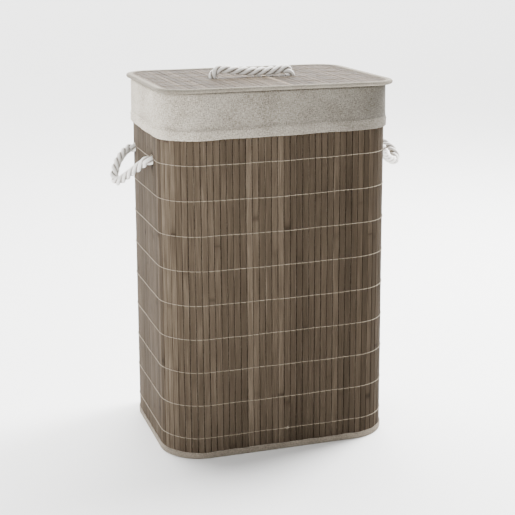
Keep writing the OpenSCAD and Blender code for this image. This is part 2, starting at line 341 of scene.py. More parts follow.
def frames(path, closed=False):
    """Directions along a path and two across it that turn as little as they can."""
    if closed:
        along = np.roll(path, -1, 0) - np.roll(path, 1, 0)
    else:
        along = np.gradient(path, axis=0)
    along /= np.linalg.norm(along, axis=1)[:, None]
    first = np.cross(along[0], (0.3, 0.2, 0.9))
    across = [first / np.linalg.norm(first)]
    for direction in along[1:]:
        side = across[-1] - direction * np.dot(across[-1], direction)
        across.append(side / np.linalg.norm(side))
    across = np.array(across)
    return along, across, np.cross(along, across)


def circle(angle, across, over):
    """Directions round a path at some angles, from its two directions across."""
    return (np.cos(angle)[None, :, None] * across[:, None]
            + np.sin(angle)[None, :, None] * over[:, None])


def tube(shape, path, radius, sides, tone=0.5, closed=False):
    """Round tube along a path."""
    _, across, over = frames(path, closed)
    angle = 2 * math.pi * np.arange(sides) / sides
    ring = circle(angle, across, over)
    points = path[:, None] + radius * ring
    flow = np.zeros_like(points)
    flow[..., 0] = distances(path)[:, None]
    flow[..., 1] = radius * np.cos(angle)
    flow[..., 2] = radius * np.sin(angle)
    shape.grid(points, flow, tone, close_rows=closed, close_columns=True, caps=not closed)


# ---- materials

CLOTH_SHINE = 0.05
BAMBOO_SHINE = 0.025


class Nodes:
    """Short calls for building one node material."""

    def __init__(self, name):
        self.material = bpy.data.materials.new(name)
        self.material.use_nodes = True
        self.tree = self.material.node_tree
        self.shader = self.tree.nodes["Principled BSDF"]

    def add(self, kind, **values):
        made = self.tree.nodes.new(kind)
        for key, value in values.items():
            setattr(made, key, value)
        return made

    def link(self, source, target):
        self.tree.links.new(source, target)

    def fill(self, sockets, values):
        """Sets each socket to its number or colour, or links the output given for it."""
        for socket, value in zip(sockets, values):
            if isinstance(value, (int, float)):
                socket.default_value = value
            elif isinstance(value, tuple):
                socket.default_value = (*value, 1.0)
            else:
                self.link(value, socket)

    def read(self, name):
        made = self.add("ShaderNodeAttribute", attribute_name=name)
        return made.outputs["Vector" if name == "flow" else "Fac"]

    def noise(self, scale, detail=3.0, rough=0.5, size=1.0):
        """Noise over the flow coordinates, in millimetres, stretched by scale."""
        mapping = self.add("ShaderNodeMapping")
        mapping.inputs["Scale"].default_value = scale
        self.link(self.read("flow"), mapping.inputs["Vector"])
        made = self.add("ShaderNodeTexNoise")
        made.inputs["Scale"].default_value = size
        made.inputs["Detail"].default_value = detail
        made.inputs["Roughness"].default_value = rough
        self.link(mapping.outputs["Vector"], made.inputs["Vector"])
        return made.outputs["Fac"]

    def math(self, operation, a, b, clamp=False):
        made = self.add("ShaderNodeMath", operation=operation, use_clamp=clamp)
        self.fill(made.inputs, (a, b))
        return made.outputs[0]

    def vary(self, value, noise, amount, clamp=False):
        """The value with a noise added, centred on 0 and times amount."""
        centred = self.math("MULTIPLY", self.math("SUBTRACT", noise, 0.5), amount)
        return self.math("ADD", value, centred, clamp=clamp)

    def speckle(self, scale, detail=2.0):
        """Even noise over the object's own coordinates."""
        made = self.add("ShaderNodeTexNoise")
        made.inputs["Scale"].default_value = scale
        made.inputs["Detail"].default_value = detail
        coordinates = self.add("ShaderNodeTexCoord")
        self.link(coordinates.outputs["Object"], made.inputs["Vector"])
        return made.outputs["Fac"]

    def ramp(self, value, *stops):
        made = self.add("ShaderNodeValToRGB")
        elements = made.color_ramp.elements
        while len(elements) < len(stops):
            elements.new(0.5)
        for element, (position, color) in zip(elements, stops):
            element.position = position
            element.color = (*color, 1.0)
        self.link(value, made.inputs["Fac"])
        return made.outputs["Color"]

    def blend(self, factor, a, b, mode="MIX"):
        made = self.add("ShaderNodeMix", data_type="RGBA", blend_type=mode)
        factor_socket, a_socket, b_socket = (made.inputs[k] for k in (0, 6, 7))
        self.fill((factor_socket, a_socket, b_socket), (factor, a, b))
        return made.outputs[2]

    def finish(self, color, roughness, height=None, strength=0.5, depth=0.0002, sheen=0.0):
        """Connects the finished colour, roughness and bump. Depth is in metres."""
        inputs = self.shader.inputs
        self.link(color, inputs["Base Color"])
        self.fill([inputs["Roughness"]], [roughness])
        inputs["Sheen Weight"].default_value = sheen
        if sheen:
            inputs["Specular IOR Level"].default_value = CLOTH_SHINE
        if height is not None:
            bump = self.add("ShaderNodeBump")
            bump.inputs["Strength"].default_value = strength
            bump.inputs["Distance"].default_value = depth
            self.link(height, bump.inputs["Height"])
            self.link(bump.outputs["Normal"], inputs["Normal"])
        return self.material


def bamboo_material():
    """Grey-brown stained bamboo: fibres along each slat, tones that differ from slat to slat,
    painted edge highlights and painted shade on the slats' sides.
    """
    n = Nodes("bamboo")
    fibres = n.noise((1.5, 0.012, 1.0), detail=5.0, rough=0.62)
    hairs = n.noise((4.5, 0.03, 1.0), detail=2.0)
    patches = n.noise((0.10, 0.008, 1.0), detail=2.0)
    # Tone holds each slat's own tone, plus painted edge highlights and painted shade towards the
    # right end of the front.
    mixed = n.math("ADD", n.math("MULTIPLY", n.read("tone"), 0.48), 0.25)
    mixed = n.vary(mixed, fibres, 0.95)
    mixed = n.vary(mixed, patches, 0.25)
    mixed = n.vary(mixed, hairs, 0.40, clamp=True)
    color = n.ramp(
        mixed,
        (0.10, (0.016, 0.0113, 0.0071)),
        (0.42, (0.045, 0.0332, 0.0225)),
        (0.62, (0.075, 0.0565, 0.0393)),
        (0.95, (0.230, 0.1850, 0.1360)),
    )
    # Dark bamboo joints, and painted shade on the slats' sides and backs.
    color = n.blend(n.read("mark"), color, (0.014, 0.009, 0.005))
    rough = n.math("ADD", 0.58, n.math("MULTIPLY", fibres, 0.25))
    n.shader.inputs["Specular IOR Level"].default_value = BAMBOO_SHINE
    height = n.math("ADD", fibres, n.math("MULTIPLY", hairs, 0.5))
    return n.finish(color, rough, height, strength=0.55, depth=0.00035)


def weave(n, pitch):
    """Height of a plain weave over the flow coordinates, from 0 to 1."""
    split = n.add("ShaderNodeSeparateXYZ")
    n.link(n.read("flow"), split.inputs[0])
    wobble = n.math("MULTIPLY", n.noise((0.25, 0.25, 0.25), detail=2.0), 1.6)
    yarns = []
    for across in split.outputs[:2]:
        turns = n.math("MULTIPLY", across, 2 * math.pi / pitch)
        yarns.append(n.math("SINE", n.math("ADD", turns, wobble), 0))
    return n.math("ADD", 0.5, n.math("MULTIPLY", n.math("ADD", *yarns), 0.25))


def cloth_material(name, dark, light, pitch=0.9, sheen=0.02, mottle=1.0, depth=0.00025):
    """Plain woven cloth with uneven yarns."""
    n = Nodes(name)
    threads = weave(n, pitch)
    slubs_a = n.noise((0.8, 0.16, 0.3), detail=3.0, rough=0.6)
    slubs_b = n.noise((0.16, 0.8, 0.3), detail=3.0, rough=0.6)
    specks = n.noise((0.55, 0.55, 0.3), detail=3.0, rough=0.7)
    broad = n.noise((0.022, 0.03, 0.035), detail=3.0)
    slubs = n.math("MULTIPLY", n.math("ADD", slubs_a, slubs_b), 0.5)
    mixed = n.math("MULTIPLY", n.math("SUBTRACT", slubs, 0.5), 1.5 * mottle)
    mixed = n.vary(mixed, specks, 1.3 * mottle)
    mixed = n.vary(mixed, threads, 0.2)
    mixed = n.vary(mixed, broad, 0.5)
    mixed = n.math("ADD", mixed, 0.5, clamp=True)
    color = n.ramp(mixed, (0.15, dark), (0.85, light))
    # Dark marks, which on the cuff are painted shade in the fold above its hem.
    color = n.blend(n.read("mark"), color, tuple(0.55 * c for c in dark))
    # Tone scales the cloth's brightness: on the cuff it holds painted light and shade, lighter at
    # the left corner and darker towards the right, and it lifts the hem.
    level = n.math("ADD", 0.3, n.math("MULTIPLY", n.read("tone"), 1.4))
    color = n.blend(1.0, color, level, "MULTIPLY")
    height = n.math("ADD", threads, n.math("MULTIPLY", slubs, 1.2))
    return n.finish(color, 0.88, height, strength=0.6, depth=depth, sheen=sheen)


def rope_material():
    """White twisted cotton: fine yarns along each strand, with painted shade where the strands
    meet.
    """
    n = Nodes("cotton_rope")
    fibres = n.noise((0.25, 2.2, 2.2), detail=4.0, rough=0.6)
    broad = n.noise((0.05, 0.2, 0.2), detail=2.0)
    mixed = n.math("ADD", n.math("MULTIPLY", fibres, 0.7), n.math("MULTIPLY", broad, 0.3))
    color = n.ramp(mixed, (0.3, (0.80, 0.775, 0.73)), (0.7, (0.92, 0.91, 0.88)))
    # Painted shade in the rope's grooves, where the strands meet.
    color = n.blend(n.read("mark"), color, (0.19, 0.155, 0.118))
    return n.finish(color, 0.9, fibres, strength=0.5, depth=0.0003, sheen=0.0)


def thread_material():
    """Pale lashing thread."""
    n = Nodes("lashing_thread")
    fibres = n.noise((1.4, 2.5, 2.5), detail=3.0)
    color = n.ramp(fibres, (0.3, (0.20, 0.162, 0.115)), (0.7, (0.42, 0.365, 0.285)))
    return n.finish(color, 0.85, fibres, strength=0.5, depth=0.0001, sheen=0.02)


def board_material():
    """Brown hardboard with fine pressed fibres."""
    n = Nodes("hardboard")
    fine = n.speckle(900.0, detail=4.0)
    color = n.ramp(fine, (0.35, (0.16, 0.10, 0.055)), (0.65, (0.27, 0.18, 0.11)))
    return n.finish(color, 0.6, fine, strength=0.3, depth=0.0002)


def wire_material():
    """Drawn steel wire."""
    n = Nodes("steel_wire")
    color = n.ramp(n.speckle(400.0), (0.3, (0.42, 0.42, 0.42)), (0.7, (0.58, 0.58, 0.57)))
    n.shader.inputs["Metallic"].default_value = 1.0
    return n.finish(color, 0.35)


def floor_material():
    """Pale matt studio floor."""
    n = Nodes("studio_floor")
    color = n.ramp(n.speckle(3.0), (0.2, (0.83, 0.83, 0.825)), (0.8, (0.84, 0.84, 0.835)))
    return n.finish(color, 0.8)


BAMBOO = bamboo_material()
CUFF_CLOTH = cloth_material("liner_cloth", dark=(0.105, 0.088, 0.066),
                            light=(0.41, 0.378, 0.32), mottle=1.15)
PALE_TAPE = cloth_material("pale_tape", dark=(0.105, 0.09, 0.068),
                           light=(0.29, 0.266, 0.22), pitch=0.7)
BINDING_TAPE = cloth_material("binding_tape", dark=(0.10, 0.084, 0.063),
                              light=(0.29, 0.25, 0.20), pitch=1.0)
UNDER_CLOTH = cloth_material("base_cloth", dark=(0.11, 0.10, 0.09),
                             light=(0.17, 0.16, 0.14), pitch=0.8)
ROPE = rope_material()
THREAD = thread_material()
HARDBOARD = board_material()
WIRE = wire_material()


# ---- ropes

def strand_mesh(shape, centre, radial, radius, start_tone):
    """One strand of a rope: a tube along centre with small ridges where its yarns lie."""
    along = np.gradient(centre, axis=0)
    along /= np.linalg.norm(along, axis=1)[:, None]
    out = radial - along * np.sum(radial * along, axis=1)[:, None]
    out /= np.linalg.norm(out, axis=1)[:, None]
    side = np.cross(along, out)
    travel = distances(centre)
    angle = 2 * math.pi * np.arange(STRAND_SIDES) / STRAND_SIDES
    twisted = angle[None, :] - YARN_TWIST * travel[:, None]
    yarn = np.cos(YARN_COUNT * twisted)
    size = radius * (1 + 0.03 * yarn)
    points = centre[:, None] + size[..., None] * circle(angle, out, side)
    flow = np.zeros_like(points)
    flow[..., 0] = travel[:, None]
    flow[..., 1] = radius * np.sin(twisted) + 20 * start_tone
    flow[..., 2] = radius * np.cos(twisted)
    # Painted shade: the strand is darkened everywhere but its outer crest, most where it turns in
    # towards the rope's middle, and faintly between its yarn ridges.
    inward = np.clip(-np.cos(angle), 0, 1)[None, :]
    low_side = np.clip(0.80 - np.cos(angle), 0, 1)[None, :]
    painted_groove_shade = np.clip(0.25 - 0.25 * yarn, 0, 1) * 0.25 + 0.95 * np.maximum(inward, low_side ** 1.5)
    mark = np.clip(painted_groove_shade, 0, 1) * 0.97
    shape.grid(points, flow, start_tone, mark, close_columns=True, caps=True)


def rope_shape(shape, route_points, phase=0.0):
    """Rope of three strands, twisted to the left, along a smooth path in millimetres."""
    path, travel = resample(smooth_route(route_points, 12), ROPE_STEP)
    _, across, over = frames(path)
    for k in range(STRAND_COUNT):
        turn = phase + 2 * math.pi * k / STRAND_COUNT - 2 * math.pi * travel / ROPE_LAY
        radial = np.cos(turn)[:, None] * across + np.sin(turn)[:, None] * over
        strand_mesh(shape, path + STRAND_OUT * radial, radial, STRAND_R, k / STRAND_COUNT)
    return path


def stopper_knot(shape, foot, direction):
    """Knot in a rope's own strands: each goes out, round the others and in at the top."""
    direction = np.array(direction, float)
    side = np.cross(direction, (0.2, 0.9, 0.4))
    side /= np.linalg.norm(side)
    other = np.cross(direction, side)
    t = np.linspace(0, 1, 60)
    for tier, k in [(tier, k) for tier in (0, 1) for k in range(STRAND_COUNT)]:
        angle = 2 * math.pi * (k / STRAND_COUNT + tier / 6) + (3.9 - 0.6 * tier) * t
        reach = KNOT_CORE_R + (KNOT_SPREAD - 1.6 * tier) * np.sin(math.pi * t) ** 0.7
        height = KNOT_FOOT_H + KNOT_TIER_H * tier + 3.2 * (t - 0.5) - 1.2 * np.sin(2 * math.pi * t)
        radial = np.cos(angle)[:, None] * side + np.sin(angle)[:, None] * other
        centre = np.array(foot) + reach[:, None] * radial + height[:, None] * direction
        strand_mesh(shape, centre, radial, KNOT_STRAND_R, k / STRAND_COUNT)


def grip(name, points, phase, feet, direction, knot_body, body=None):
    """Rope and the stopper knots at its two ends: both pieces, and the rope's path."""
    shape = Shape()
    path = rope_shape(shape, points, phase)
    rope = piece(shape, name + "_grip", ROPE, body, (name + "_grip_rope",))
    knots = Shape()
    for foot in feet:
        stopper_knot(knots, foot, direction)
    knots = piece(knots, name + "_grip_stoppers", ROPE, knot_body,
                  (name + "_grip_knots",))
    return rope, path, knots


def end_grip(name, side, grip_y, route_points):
    """Rope loop of one end, from the knot at its front hole round to the knot at its back hole."""
    def place(u, y, z):
        return [side * (GRIP_WALL_X + PIVOT_OUT + u), grip_y + y, GRIP_Z + z]

    inside = -PIVOT_OUT - KNOT_INSET
    points = [place(inside, -GRIP_HALF, 0), place(-PIVOT_OUT - 1, -GRIP_HALF, 0)]
    points += [place(*p) for p in route_points]
    points += [place(-PIVOT_OUT - 1, GRIP_HALF, 0), place(inside, GRIP_HALF, 0)]
    rope, path, knots = grip(name, points, 0.6, (points[0], points[-1]), (-side, 0, 0), "basket")
    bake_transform(rope)


def lid_grip():
    """Rope grip of the lid, knotted under it at both ends."""
    points = [[x, y, z + LID_TOP_Z] for x, y, z in LID_ROUTE]
    feet = [(x, 0, LID_Z) for x in LID_HOLES_X]
    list(grip("lid", points, 2.0, feet, (0, 0, -1), "lid", "lid"))


lid_grip()
end_grip("left", -1, LEFT_GRIP_Y, LEFT_ROUTE)
end_grip("right", 1, RIGHT_GRIP_Y, RIGHT_ROUTE)


# ---- slats

def slat_section(width, thickness, crown=0.14, edge=0.5):
    """Section of a slat, from its outer face round to its back: across and outward values."""
    half = width / 2
    spread = (half - edge) * np.array([-1, -0.86, -0.5, 0, 0.5, 0.86, 1])
    face = [(a, crown * (1 - (a / half) ** 2)) for a in spread]
    arcs = []
    for cx, cy, first in ((half - edge, -edge, 60), (half - edge, edge - thickness, 0),
                          (edge - half, edge - thickness, -90), (edge - half, -edge, 180)):
        arcs.append([(cx + edge * math.cos(math.radians(first - 30 * i)),
                      cy + edge * math.sin(math.radians(first - 30 * i))) for i in range(3)])
    right_front, right_back, left_back, left_front = arcs
    return np.array(face + right_front + right_back + [(0.0, -thickness)] + left_back + left_front)


def slat_marks(length, rng):
    """Places and strengths of the bamboo's joints on one slat. Most are faint."""
    places, z = [], rng.uniform(-120, 160)
    while z < length:
        if 8 < z < length - 8:
            strength = rng.choice([0.0, 0.0, 0.15, 0.25, 0.35, 0.8]) * rng.uniform(0.6, 1.0)
            places.append((z, strength, rng.uniform(2.0, 6.0)))
        z += rng.uniform(170, 330)
    return places


def slat_grid(length, width, thickness, rng):
    """One slat along its own length: its stations, section points, marks with painted shade on its
    sides and back, and a painted edge highlight.
    """
    marks = slat_marks(length, rng)
    stations = set(np.linspace(0, length, max(3, round(length / 22))).tolist())
    stations |= {0.5, length - 0.5}
    for z, strength, tall in marks:
        if strength > 0.05:
            stations |= {z + tall * k for k in (-1.2, -0.6, -0.2, 0.2, 0.6, 1.2)}
    stations = np.array(sorted(s for s in stations if 0 <= s <= length))
    section = slat_section(width, thickness)
    across = np.repeat(section[None, :, 0], len(stations), 0)
    out = np.repeat(section[None, :, 1], len(stations), 0)
    bend = SLAT_BEND * wave(stations, (length * 1.3, length * 0.45), rng.random())
    lift = SLAT_BEND * wave(stations, (length * 0.9, length * 0.3), rng.random())
    lift = lift + rng.uniform(-SLAT_BEND, SLAT_BEND)
    across = across + bend[:, None]
    out = out + lift[:, None]
    mark = np.zeros_like(across)
    for z, strength, tall in marks:
        near = np.exp(-((stations - z) / tall) ** 2)[:, None]
        mark = np.maximum(mark, strength * near)
        out = out + 0.10 * near * (section[None, :, 1] > -0.6)
    # Painted shade on the slat's sides and back, behind its face, so the gaps between slats read as
    # shadow.
    mark = np.maximum(mark, 0.9 * np.clip((-section[None, :, 1] - 0.25) / 0.6, 0, 1))
    taper = np.where((stations < 0.3) | (stations > length - 0.3), 0.94, 1.0)
    across = across * taper[:, None]
    # Painted highlight: on some slats a pale band along one rounded edge, as if it caught the
    # light, coming and going along the slat. The dark marks are lifted under it.
    side = rng.choice([-1, 1, 1])
    strength = rng.choice([0.0, 0.15, 0.4, 0.8])
    highlight_band = np.clip((side * section[:, 0] / (width / 2) - 0.80) / 0.12, 0, 1)
    highlight_band = highlight_band * (section[:, 1] > -0.5)
    fade = np.clip(0.6 + 0.5 * wave(stations, (310.0, 130.0), rng.random()), 0, 1)
    edge = strength * highlight_band[None, :] * fade[:, None]
    mark = mark * (1 - np.clip(1.5 * edge, 0, 1))
    return stations, across, out, mark, edge


def wall_slots():
    """Every slat of the wall, anticlockwise from the right side: node, foot of its face, normal."""
    names = (("right", "back_right"), ("back", "back_left"),
             ("left", "front_left"), ("front", "front_right"))
    for quarter, (side, corner) in enumerate(names):
        out = (BODY_W, BODY_D)[quarter % 2] / 2
        run = (BODY_D, BODY_W)[quarter % 2] - 2 * CORNER_R
        count = (SIDE_COUNT, FRONT_COUNT)[quarter % 2]
        angle = 90 * quarter
        turn = Matrix.Rotation(math.radians(angle), 2)
        for i in range(count):
            foot = turn @ Vector((out, run * ((i + 0.5) / count - 0.5)))
            yield side + "_slats", foot, math.radians(angle)
        centre = turn @ Vector((out - CORNER_R, run / 2))
        for i in range(CORNER_COUNT):
            a = math.radians(angle + 90 * (i + 0.5) / CORNER_COUNT)
            foot = centre + CORNER_R * Vector((math.cos(a), math.sin(a)))
            yield corner + "_corner_slats", foot, a


def drill(target, holes):
    """Cuts round holes, each (point, direction, radius) in millimetres, through a piece."""
    for point, direction, radius in holes:
        turn = Vector(direction).to_track_quat("Z", "Y").to_matrix().to_4x4()
        bpy.ops.mesh.primitive_cylinder_add(vertices=32, radius=radius / 1000, depth=0.016)
        tool = bpy.context.object
        tool.matrix_world = Matrix.Translation(Vector(point) / 1000) @ turn
        cut = target.modifiers.new("hole", "BOOLEAN")
        cut.operation = "DIFFERENCE"
        cut.object = tool
        cut.solver = "EXACT"
        apply_modifiers(target)
        bpy.data.objects.remove(tool)


GRIP_HOLES = [
    ((side * GRIP_WALL_X, grip_y + s * GRIP_HALF, GRIP_Z), (side, 0, 0), HOLE_R)
    for side, grip_y in ((-1, LEFT_GRIP_Y), (1, RIGHT_GRIP_Y)) for s in (-1, 1)
]


def wall_slats():
    """All the upright slats, one piece for each CAD node."""
    shapes = {}
    for number, (node, foot, angle) in enumerate(wall_slots()):
        rng = random.Random(WALL_SEED + number)
        shape = shapes.setdefault(node, Shape())
        width = SLAT_W + rng.uniform(-0.30, 0.12)
        length = RIM_Z - SLAT_FOOT_Z
        stations, across, out, mark, edge = slat_grid(length, width, SLAT_T, rng)
        z = SLAT_FOOT_Z + stations
        out_z = out - lean(z)[:, None]
        c, s = math.cos(angle), math.sin(angle)
        high = np.repeat(z[:, None], across.shape[1], 1)
        points = np.stack([foot.x + out_z * c - across * s, foot.y + out_z * s + across * c, high],
                          axis=-1)
        flow = np.stack([across, high + 900 * rng.random(), np.full_like(across, 37.0 * number)],
                        axis=-1)
        # Painted shade: the slats along the front get darker towards its right end.
        darker = 0.22 if foot.y < -80 else 0.0  # along the front, towards its right end
        tone = rng.gauss(0.5, 0.12) - darker * foot.x / (BODY_W / 2)
        # Painted highlight: the edge band is added to the slat's tone.
        shape.grid(points, flow, np.clip(tone + edge, 0, 1), mark, close_columns=True, caps=True)
    for node, shape in shapes.items():
        made = piece(shape, node + "_look", BAMBOO, replaces=(node,))
        low, high = (np.array(corner) * 1000 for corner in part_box(node))
        drill(made, [h for h in GRIP_HOLES if np.all((low - 8 < h[0]) & (h[0] < high + 8))])
        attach(made, "basket")


wall_slats()


def thread_path(z, depth, dip):
    """Row of lashing round the wall: it lies on each slat and dips between slats."""
    slots = list(wall_slots())
    points = []
    for (_, foot, angle), (_, next_foot, next_angle) in zip(slots, slots[1:] + slots[:1]):
        c, s = math.cos(angle), math.sin(angle)
        for a, inward in ((-THREAD_REACH, 0.1), (0.0, 0.0), (THREAD_REACH, 0.1)):
            out = depth - lean(z) - inward * math.copysign(1, depth)
            points.append((foot.x + out * c - a * s, foot.y + out * s + a * c, z))
        middle = (foot + next_foot) / 2
        turn = angle + ((next_angle - angle + math.pi) % (2 * math.pi) - math.pi) / 2
        out = dip - lean(z)
        points.append((middle.x + out * math.cos(turn), middle.y + out * math.sin(turn), z))
    return np.array(points)


def join_loop(shape):
    """Small loop and knot where the lowest row's thread ends on the front."""
    angle = np.linspace(0, 2 * math.pi, 17)[:-1]
    x, y, z = JOIN_LOOP_X, -BODY_D / 2 - 0.85 + lean(FIRST_ROW_Z), FIRST_ROW_Z
    loop = [x + 2.0 * np.cos(angle), y - 0.25 * np.sin(2 * angle), z - 0.3 + 1.7 * np.sin(angle)]
    tube(shape, np.stack(loop, axis=1), 0.8 * THREAD_R, THREAD_SIDES, closed=True)
    for start, end in (((-1.4, 1.2), (2.6, 3.2)), ((-2.6, 0.2), (-4.4, 1.6))):
        t = np.linspace(0, 1, 5)
        tail = [x + start[0] + (end[0] - start[0]) * t, np.full(5, y),
                z + start[1] + (end[1] - start[1]) * t]
        tube(shape, np.stack(tail, axis=1), 0.7 * THREAD_R, 5)


def lashing(name, depth, dip, seed):
    """All the rows of thread on one face of the slats. A row is pushed up where a rope passes."""
    shape = Shape()
    for row in range(ROW_COUNT):
        z = FIRST_ROW_Z + row * ROW_PITCH
        path = thread_path(z, depth, dip)
        path[:, 2] += ROW_WAVER * wave(distances(path), (410.0, 207.0, 83.0), seed + row)
        rightward = np.clip(path[:, 0] / SKEW_FULL_X, 0, 1)
        rightward = rightward * (0.65 - 0.35 * path[:, 1] / (BODY_D / 2))
        path[:, 2] += ROW_SKEW * (0.1 + 0.9 * row / (ROW_COUNT - 1)) * rightward
        for point, _, _ in GRIP_HOLES:
            near = np.hypot(path[:, 0] - point[0], path[:, 1] - point[1])
            if abs(z - GRIP_Z) < 10:
                path[:, 2] += ROW_PUSH * np.exp(-(near / PUSH_REACH) ** 2)
        closed = np.vstack([path[-1:], path, path[:2]])
        smooth = smooth_route(closed, 3)[3:-6]
        tube(shape, smooth, THREAD_R, THREAD_SIDES, closed=True)
    if depth > 0:
        join_loop(shape)
    return piece(shape, name + "_look", THREAD, "basket", (name,))


lashing("outer_lashing_threads", depth=0.55, dip=-0.75, seed=50)
lashing("inner_lashing_threads", depth=-SLAT_T - 0.55, dip=-SLAT_T + 0.3, seed=80)


# ---- bindings and base

def stitches(shape, ring, offset, z, length=3.2, space=1.6, radius=0.28, flat=False):
    """Row of stitches round a ring, each a short thread that dips in at its ends."""
    points, normals, along = ring
    total = along[-1] + np.linalg.norm(points[0] - points[-1])
    count = round(total / (length + space))
    for i in range(count):
        t = np.linspace(0, 1, 5)
        at = (i / count * total + length * t) % total
        x, y, nx, ny = (np.interp(at, along, values, period=total)
                        for values in (*points.T, *normals.T))
        rise = 0.45 * np.sin(math.pi * t) - 0.25
        out = offset + (0 if flat else 1) * rise
        high = z + (1 if flat else 0) * rise
        path = np.stack([x + nx * out, y + ny * out, np.broadcast_to(high, x.shape)], axis=1)
        tube(shape, path, radius, 5)


def bottom_binding():
    """Tape folded round the foot of the wall and stitched."""
    ring = outline(BODY_W, BODY_D, CORNER_R, 3.0)
    along = ring[2]
    top = FOOT_TAPE_H + 0.5 * wave(along, (190.0, 71.0, 33.0), 3)
    pucker = 0.14 * wave(along, (9.0, 14.0, 23.0), 4)
    section = [  # outward, share of the height, whether it waves with the top, share of pucker
        (0.25, 1.0, 1, 1), (0.75, 1.02, 1, 1), (1.2, 0.94, 1, 1), (1.35, 0.78, 1, 1),
        (1.1, 0.66, 1, 1), (1.45, 0.5, 0, 1), (1.5, 0.25, 0, 1), (1.2, 0.08, 0, 0.5),
        (0.6, 0.01, 0, 0), (-1.5, 0.0, 0, 0), (-6.0, 0.0, 0, 0), (-7.4, 0.1, 0, 0),
        (-7.7, 0.5, 0, 0), (-7.6, 0.98, 1, 0), (-7.0, 0.98, 1, 0), (-6.9, 0.2, 0, 0),
        (-6.0, 0.085, 0, 0), (-1.0, 0.085, 0, 0), (0.2, 0.2, 0, 0),
    ]
    offsets = np.array([[s[0] + p * s[3] for s in section] for p in pucker])
    heights = np.array([[s[1] * (h if s[2] else FOOT_TAPE_H) for s in section] for h in top])
    across = distances(np.array([(s[0], FOOT_TAPE_H * s[1]) for s in section]))
    shape = Shape()
    swept(shape, ring, offsets, heights, across)
    piece(shape, "bottom_binding_look", BINDING_TAPE, "basket", ("bottom_binding",))
    sewn = Shape()
    stitches(sewn, ring, 1.35, 7.3)
    piece(sewn, "bottom_binding_stitches", THREAD, "basket")


bottom_binding()


def paint(node, material):
    """Gives a CAD node that stays on show its finished material."""
    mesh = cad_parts[node].data
    mesh.materials.clear()
    mesh.materials.append(material)
    if "flow" not in mesh.attributes:
        places = np.array([v.co for v in mesh.vertices]) * 1000.0
        x, y, z = places.T
        flow = np.stack([x + y, z + y, x], axis=1)
        attribute(mesh, "flow", "FLOAT_VECTOR", flow)
        attribute(mesh, "tone", "FLOAT", np.full(len(places), 0.5))
        attribute(mesh, "mark", "FLOAT", np.zeros(len(places)))


paint("top_binding", PALE_TAPE)
paint("wall_seam_tape", BINDING_TAPE)
paint("base_cloth", UNDER_CLOTH)
for hoop in ("top_hoop", "bottom_hoop", "lid_edge_hoop"):
    paint(hoop, WIRE)
for board in ("base_board", "lid_board"):
    paint(board, HARDBOARD)


# ---- liner

